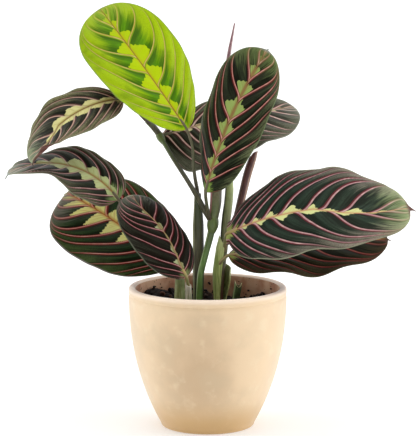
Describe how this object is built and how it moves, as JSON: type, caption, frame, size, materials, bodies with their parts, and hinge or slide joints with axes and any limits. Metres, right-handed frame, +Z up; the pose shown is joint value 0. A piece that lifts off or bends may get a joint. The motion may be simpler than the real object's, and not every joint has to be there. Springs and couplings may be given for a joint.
{
  "type": "potted prayer plant",
  "caption": "Prayer plant with feathered, red-veined oval leaves on canes and sheaths, growing from soil in a round tapered pot with a plain rim.",
  "frame": {"origin": "centre of the pot's flat underside, on the surface that it stands on", "axes": "+Z up; +Y away from the side that the picture shows; +X to the right in the picture"},
  "size_m": [0.3257, 0.1626, 0.3376],
  "materials": {
    "pot": "matt cream glaze with a faint warm mottle",
    "soil": "dark loose peat and bark",
    "olive_stalk": "olive sheath with fine ribs",
    "green_cane": "smooth green cane",
    "pale_sheath": "dry pale green sheath with fine stripes",
    "rolled_leaf": "rolled leaf, wine red and brown",
    "young_leaf": "bright lime leaf with tan veins",
    "dark_leaf": "dark velvety green with pink veins and a light green feather",
    "grey_leaf": "greyish green with a silky sheen and dusky pink veins"
  },
  "bodies": {
    "root": {"pot": "pot", "soil": "soil", "stem_left": "olive_stalk", "stem_middle": "green_cane", "stem_right": "olive_stalk", "sheath_back": "pale_sheath", "sheath_front": "pale_sheath", "sheath_open": "pale_sheath", "stub": "green_cane", "spear_tall": "rolled_leaf", "spear_right": "rolled_leaf", "leaf_young": "young_leaf", "leaf_centre": "dark_leaf", "leaf_far_left": "grey_leaf", "leaf_middle_left": "grey_leaf", "leaf_lower_left": "dark_leaf", "leaf_front_left": "dark_leaf", "leaf_right_upper": "dark_leaf", "leaf_right_lower": "dark_leaf", "leaf_behind": "grey_leaf"}
  },
  "joints": []
}
